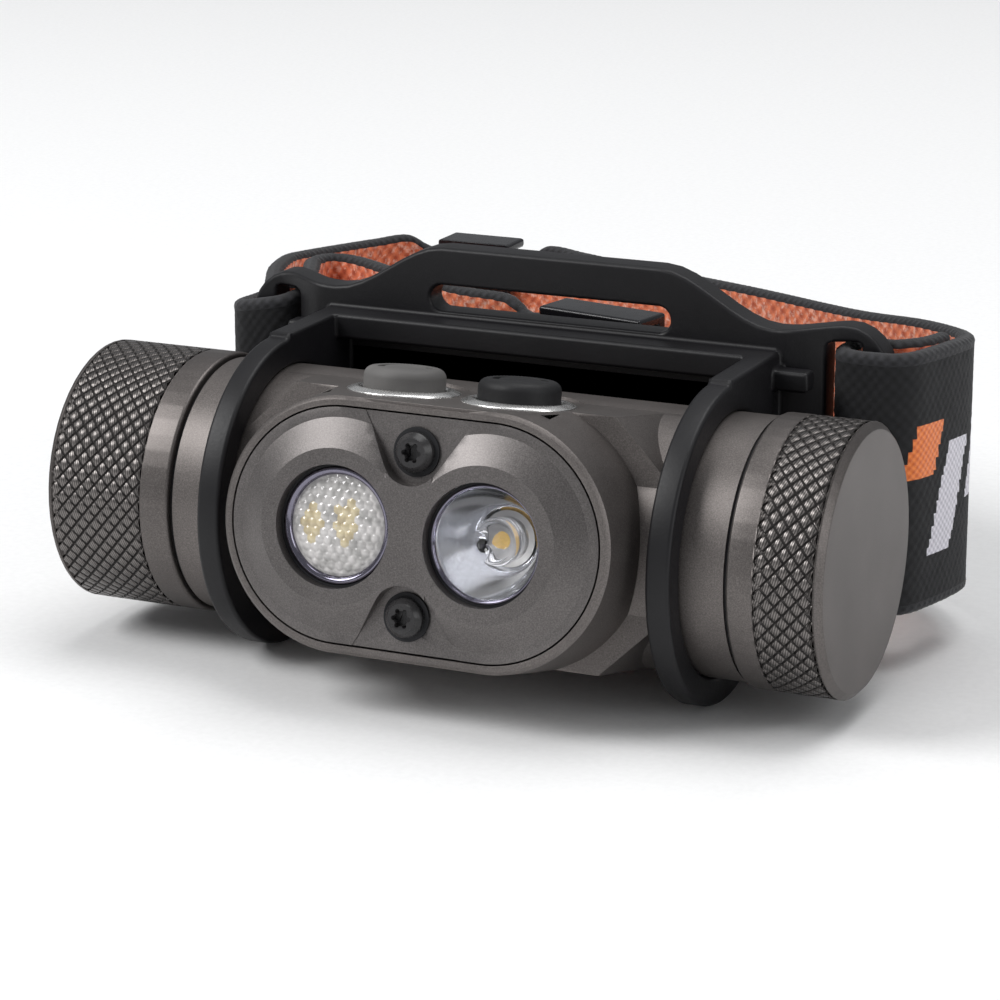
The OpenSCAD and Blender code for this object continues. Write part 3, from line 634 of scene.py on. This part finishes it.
def web_section():
    """Cross-section of flat webbing: (across, through, face kind), outer face first."""
    t = STRAP_T / 2
    flat = HALF - t * ROUND_EDGE
    columns = round(2 * flat / WEB_STEP)
    across = [-flat + 2 * flat * k / columns for k in range(columns + 1)]
    turn = [math.radians(a) for a in (30, 60, 90, 120, 150)]
    outer = [(z, t, OUTER) for z in across]
    top = [(flat + t * ROUND_EDGE * math.sin(a), t * math.cos(a), EDGE) for a in turn]
    inner = [(z, -t, INNER) for z in reversed(across)]
    bottom = [(-flat - t * ROUND_EDGE * math.sin(a), -t * math.cos(a), EDGE) for a in turn]
    return outer + top + inner + bottom


def web_relief(s, z, kind):
    """Height of the knit above the flat strap: waffles inside, fine ribs outside and on the edges."""
    if kind == EDGE or kind == OUTER and HALF - abs(z) < SELVAGE:
        height, pitch = EDGE_RIB
        return height * math.sin(2 * math.pi * s / pitch)
    if kind == INNER:
        height, cell, sink = WAFFLE
        return height * math.sin(math.pi * s / cell) * math.sin(math.pi * z / cell) - sink
    height, pitch, sink = OUTER_RIB
    strength, often = SWAY
    sway = strength * math.sin(2 * math.pi * z / often)
    return height * math.sin(2 * math.pi * s / pitch + sway) - sink


def web_kind(s, z, kind, printed):
    """Which yarn shows at a point of the strap."""
    least, depth, pitch = SCALLOP
    scallop = least + depth * abs((s / pitch) % 1 - 0.5) * 2
    border = scallop if kind == INNER else SELVAGE
    if kind == EDGE or HALF - abs(z) < border:
        return EDGE
    if kind == OUTER and printed is not None:
        bar, along = divmod(s - printed - PRINT_SLANT * z, PRINT_PITCH)
        if 0 <= bar < PRINT_COUNT and along < PRINT_WIDTH:
            low, high = FIRST_BAR if bar == 0 else BAR_ENDS[int(bar) % 2]
            shown = PRINT_BRIGHT if bar == 0 else PRINT_PALE
            return shown if low < z < high else OUTER
    return kind


def web_points(line, section, outer_side):
    """The webbing's points and their UVs: one section at each step along the line."""
    points, uv = [], []
    for i, (s, (x, y, middle, height)) in enumerate(line):
        a = line[max(i - 1, 0)][1]
        b = line[min(i + 1, len(line) - 1)][1]
        run = math.hypot(b[0] - a[0], b[1] - a[1])
        side_x = outer_side * (b[1] - a[1]) / run
        side_y = -outer_side * (b[0] - a[0]) / run
        for z, through, kind in section:
            lift = web_relief(s, z, kind)
            out = through + (lift if through > 0 else -lift)
            points.append((x + side_x * out, y + side_y * out, middle + z * height / FULL))
            uv.append((s, z if through > 0 else z + INNER_SHIFT))
    return points, uv


def web_faces(line, section, printed):
    """The faces between the sections and at both ends, and the yarn that each shows."""
    count = len(section)
    faces, kinds = [], []
    for i in range(len(line) - 1):
        for k, (z, _, kind) in enumerate(section):
            n = (k + 1) % count
            faces.append((i * count + k, i * count + n, (i + 1) * count + n, (i + 1) * count + k))
            flat_kind = EDGE if section[n][2] == EDGE else kind
            kinds.append(web_kind(line[i][0], (z + section[n][0]) / 2, flat_kind, printed))
    last = (len(line) - 1) * count
    faces += [tuple(range(count))[::-1], tuple(range(last, last + count))]
    return faces, kinds + [EDGE, EDGE]


def webbing(name, node_name, route, outer_side, printed_at=None):
    """One length of webbing; outer_side is 1 if its black face is on the route's right, or -1."""
    line, marks = evenly(route, WEB_STEP)
    printed = None if printed_at is None else marks[printed_at]
    section = web_section()
    points, uv = web_points(line, section, outer_side)
    faces, kinds = web_faces(line, section, printed)
    faces = [face[::outer_side] for face in faces]
    piece = new_piece(name, points, faces, "bracket_and_strap", WEB_LOOKS)
    paint(piece, kinds)
    add_uv(piece, uv)
    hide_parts(node_name)


BLACK_YARN = (0.0015, 0.0015, 0.002)
BLACK_LIGHT = (0.009, 0.009, 0.011)
WEB_LOOKS = [
    knit("web_outer", BLACK_YARN, BLACK_LIGHT, 1.3, 1.0, 0.04),
    knit("web_inner", (0.42, 0.065, 0.022), (0.95, 0.27, 0.12), 1.7, 1.7, 0.2, (0.95, 0.62, 0.50)),
    knit("web_edge", (0.004, 0.004, 0.005), (0.022, 0.022, 0.026), 1.0, 0.95, 0.12),
    knit("web_bright", (0.60, 0.10, 0.015), (0.90, 0.26, 0.05), 0.8, 0.8),
    knit("web_pale", (0.42, 0.40, 0.46), (0.80, 0.78, 0.84), 0.8, 0.8)]
webbing("strap_webbing", "strap", STRAP_ROUTE, 1, PRINT_START)
webbing("strap_tail_webbing", "strap_tail", TAIL_ROUTE, -1)

# ------------------------------------------------------------------- optics
HONEYCOMB_R = 4.75
CELL_PITCH = 0.87
CELL_REACH = 0.58 * CELL_PITCH    # a cell's round top falls to its edge over this distance
CELL_RISE = 0.18
DOME = 0.3            # how far the middle of the flood optic bulges past its edge
EDGE_SINK = 0.45      # how far its edge lies behind the rim
EDGE_FADE = 0.4       # the cells grow flat over this distance from the edge
HONEYCOMB_RINGS = 66
AROUND_HONEYCOMB = 240
AROUND = 96
BOWL_R = 5.1
BOWL_TOP = 18.2
BOWL_FLOOR_R = 2.6
BOWL_FLOOR = LED_DEPTH - 0.1
BOWL_STEPS = 24
EMITTERS = ((-2.6, 0.1, 0.9, 2.2), (0.9, 0.4, 1.2, 2.0))   # centre and half sizes of each column


def turned(name, x, profile, body, material):
    """A surface of revolution on a lens axis; the profile is (radius, depth) points."""
    points, faces = [], []
    for r, depth in profile:
        for k in range(AROUND):
            a = 2 * math.pi * k / AROUND
            points.append((x + r * math.cos(a), -depth, r * math.sin(a)))
    for i in range(len(profile) - 1):
        for k in range(AROUND):
            n = (k + 1) % AROUND
            faces.append((i * AROUND + k, i * AROUND + n, (i + 1) * AROUND + n, (i + 1) * AROUND + k))
    return new_piece(name, points, faces, body, [material], lamp_row)


def bowl(steps, r0, r1, d0, d1):
    """Profile of a reflecting bowl."""
    return [(r0 + (r1 - r0) * math.sqrt(k / steps), d0 + (d1 - d0) * k / steps)
            for k in range(steps + 1)]


def cell_of(u, v):
    """Centre of the honeycomb cell that holds a point, across and up from the lens's centre."""
    line = CELL_PITCH * math.sqrt(3) / 2
    centres = []
    for j in (math.floor(v / line), math.floor(v / line) + 1):
        shift = 0.5 * (j % 2)
        centres.append(((round(u / CELL_PITCH - shift) + shift) * CELL_PITCH, j * line))
    return min(centres, key=lambda c: (u - c[0]) ** 2 + (v - c[1]) ** 2)


def over_emitter(u, v):
    """True where a cell lies in front of one of the two columns of light sources."""
    return any(((u - cu) / ru) ** 2 + ((v - cv) / rv) ** 2 < 1 for cu, cv, ru, rv in EMITTERS)


def optic_depth(r, u, v):
    """Depth of the flood optic's face, at distance r from its centre."""
    fade = min(1, (HONEYCOMB_R - r) / EDGE_FADE)
    height = 1 - math.dist(cell_of(u, v), (u, v)) ** 2 / CELL_REACH ** 2
    dome = DOME * (1 - (r / HONEYCOMB_R) ** 2)
    return LENS_FACE - EDGE_SINK + dome + CELL_RISE * height * fade


def honeycomb(name, x, materials):
    """The slightly domed face of the flood optic, with round-topped hexagonal cells; the cells in front
    of the light sources are painted warm.
    """
    around = AROUND_HONEYCOMB
    points = [(x, -LENS_FACE - 0.05, 0)]
    for i in range(1, HONEYCOMB_RINGS + 1):
        r = HONEYCOMB_R * i / HONEYCOMB_RINGS
        for k in range(around):
            a = 2 * math.pi * k / around
            u, v = r * math.cos(a), r * math.sin(a)
            points.append((x + u, -optic_depth(r, u, v), v))
    faces = [(0, 1 + k, 1 + (k + 1) % around) for k in range(around)]
    # cells in front of the light sources take the second material, painted warm for the amber emitters
    # showing through
    warm = [0] * around
    for i in range(HONEYCOMB_RINGS - 1):
        for k in range(around):
            n = (k + 1) % around
            a, b = 1 + i * around, 1 + (i + 1) * around
            faces.append((a + k, b + k, b + n, a + n))
            r, angle = HONEYCOMB_R * (i + 1.5) / HONEYCOMB_RINGS, 2 * math.pi * (k + 0.5) / around
            warm.append(int(over_emitter(*cell_of(r * math.cos(angle), r * math.sin(angle)))))
    piece = new_piece(name, points, faces, "lamp", materials, lamp_row)
    paint(piece, warm)
    return piece


def pebble_glass(name, dark, light):
    """Milky moulded optic that varies softly from cell to cell."""
    look = Look(name, light, 0.1, Coat_Weight=0.7, Coat_Roughness=0.04)
    patch = look.noise(1.1, 1)
    fine = look.noise(0.3, 2)
    look.colour(look.ramp(patch, [(0.36, dark), (0.62, light)]))
    look.rough(fine, 0.05, 0.18)
    look.bump(fine, 0.15, 0.02)
    return look.material


SILVER = machined_metal("silvered_bowl", (0.80, 0.81, 0.83), 0.12)
# the second, warmer optic is the amber emitters' colour showing through, painted on the optic's face
PEBBLES = [pebble_glass("pebbled_optic", (0.38, 0.37, 0.36), (0.60, 0.58, 0.57)),
           pebble_glass("pebbled_optic_painted_emitters", (0.46, 0.38, 0.24), (0.66, 0.57, 0.38))]
SUBSTRATE = moulded_polymer("pale_substrate", (0.55, 0.54, 0.52), 0.4)
RIM = machined_metal("lens_rim", (0.20, 0.19, 0.24), 0.14)
FLOOD_RIM = [
    (HONEYCOMB_R, LENS_FACE - EDGE_SINK), (4.85, LENS_FACE - 0.2), (5.05, LENS_FACE - 0.02),
    (5.3, LENS_FACE), (5.45, LENS_FACE - 0.12), (LENS_R, LENS_FACE - 0.5), (LENS_R, LENS_SEAT)]
SPOT_BOWL = [(0.01, BOWL_FLOOR), (BOWL_FLOOR_R, BOWL_FLOOR)]
SPOT_BOWL += bowl(BOWL_STEPS, BOWL_FLOOR_R, BOWL_R, BOWL_FLOOR, BOWL_TOP)
SPOT_RIM = [(BOWL_R, BOWL_TOP), (5.2, LENS_FACE - 0.1), (5.35, LENS_FACE),
            (LENS_R, LENS_FACE - 0.15), (LENS_R, LENS_SEAT)]
SPOT_SUBSTRATE = [(0.75, LED_DEPTH + 0.05), (2.65, LED_DEPTH + 0.05)]
COLLIMATOR = [
    (0.01, LED_DEPTH + 0.15), (2.1, LED_DEPTH + 0.15), (2.25, 15.8), (2.2, 16.1),
    (2.0, 16.25), (1.75, 16.2), (1.65, 16.05), (1.0, 16.3), (0.01, 16.4)]
COVER = [
    (5.3, 18.25), (4.6, 18.32), (3.2, 18.42), (1.6, 18.48), (0.01, 18.5), (0.01, 18.3),
    (1.6, 18.28), (3.2, 18.22), (4.6, 18.12), (5.3, 18.05)]

flood = honeycomb("flood_lens_honeycomb", -LENS_X, PEBBLES)
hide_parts("flood_lens")
turned("flood_lens_rim", -LENS_X, FLOOD_RIM, "lamp", RIM)
spot = turned("spot_lens_bowl", LENS_X, SPOT_BOWL, "lamp", SILVER)
turned("spot_lens_rim", LENS_X, SPOT_RIM, "lamp", RIM)
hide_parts("spot_lens")
turned("spot_lens_substrate", LENS_X, SPOT_SUBSTRATE, "lamp", SUBSTRATE)
turned("spot_lens_collimator", LENS_X, COLLIMATOR, "lamp", LOOKS["clear_lens"])
turned("spot_lens_cover", LENS_X, COVER, "lamp", LOOKS["clear_lens"])

# --------------------------------------------------------------------- stage
FLOOR_HALF = 3.0      # metres from the floor's middle to its edge
SKY = (0.95, 0.97, 1.0, 1)
SKY_STRENGTH = 0.30
SOFTBOXES = {         # name: (place, target and size in metres, power in watts)
    "key": ((-0.60, -0.50, 0.70), (0, 0, 0), (0.50, 0.50), 8.0),
    "top": ((0.15, 0.30, 1.20), (0, 0.1, 0), (0.90, 0.90), 8.5),
    "right": ((0.90, -0.20, 0.35), (0, 0, 0), (0.40, 0.60), 2.2)}

floor_mesh = bpy.data.meshes.new("floor")
corners = [(x * FLOOR_HALF, y * FLOOR_HALF, FLOOR_Z * MM)
           for x, y in ((-1, -1), (1, -1), (1, 1), (-1, 1))]
floor_mesh.from_pydata(corners, [], [(0, 1, 2, 3)])
floor = bpy.data.objects.new("floor", floor_mesh)
bpy.context.scene.collection.objects.link(floor)
floor_look = Look("floor", (0.84, 0.84, 0.84), 0.9)
floor_grain = floor_look.noise(0.8, 3)
floor_look.colour(floor_look.ramp(floor_grain, [(0.3, (0.82, 0.82, 0.82)), (0.7, (0.86, 0.86, 0.86))]))
floor_mesh.materials.append(floor_look.material)

world = bpy.data.worlds.new("studio")
bpy.context.scene.world = world
world.use_nodes = True
background = world.node_tree.nodes["Background"]
background.inputs["Color"].default_value = SKY
background.inputs["Strength"].default_value = SKY_STRENGTH


def softbox(name, place, target, size, power):
    """A rectangular area light that faces a target point."""
    light = bpy.data.lights.new(name, "AREA")
    light.shape = "RECTANGLE"
    light.size, light.size_y = size
    light.energy = power
    stand = bpy.data.objects.new(name, light)
    stand.location = place
    stand.rotation_mode = "QUATERNION"
    stand.rotation_quaternion = (Vector(target) - Vector(place)).to_track_quat("-Z", "Y")
    bpy.context.scene.collection.objects.link(stand)


for box_name, box_settings in SOFTBOXES.items():
    softbox(box_name, *box_settings)

# -------------------------------------------------------------------- camera
CAMERA_PLACE = (0.135439, -0.313627, 0.094554)      # metres in the row frame
CAMERA_AIM = (-0.396755, 0.876155, -0.273747)
CAMERA_LENS = 127.5

camera = bpy.data.objects.new("camera", bpy.data.cameras.new("camera"))
camera.data.lens = CAMERA_LENS
camera.data.sensor_width = 36
camera.data.clip_start = 0.01
camera.data.clip_end = 20
camera.location = CAMERA_PLACE
camera.rotation_mode = "QUATERNION"
camera.rotation_quaternion = Vector(CAMERA_AIM).to_track_quat("-Z", "Y")
bpy.context.scene.collection.objects.link(camera)
bpy.context.scene.camera = camera
bpy.context.scene.view_settings.view_transform = "Standard"
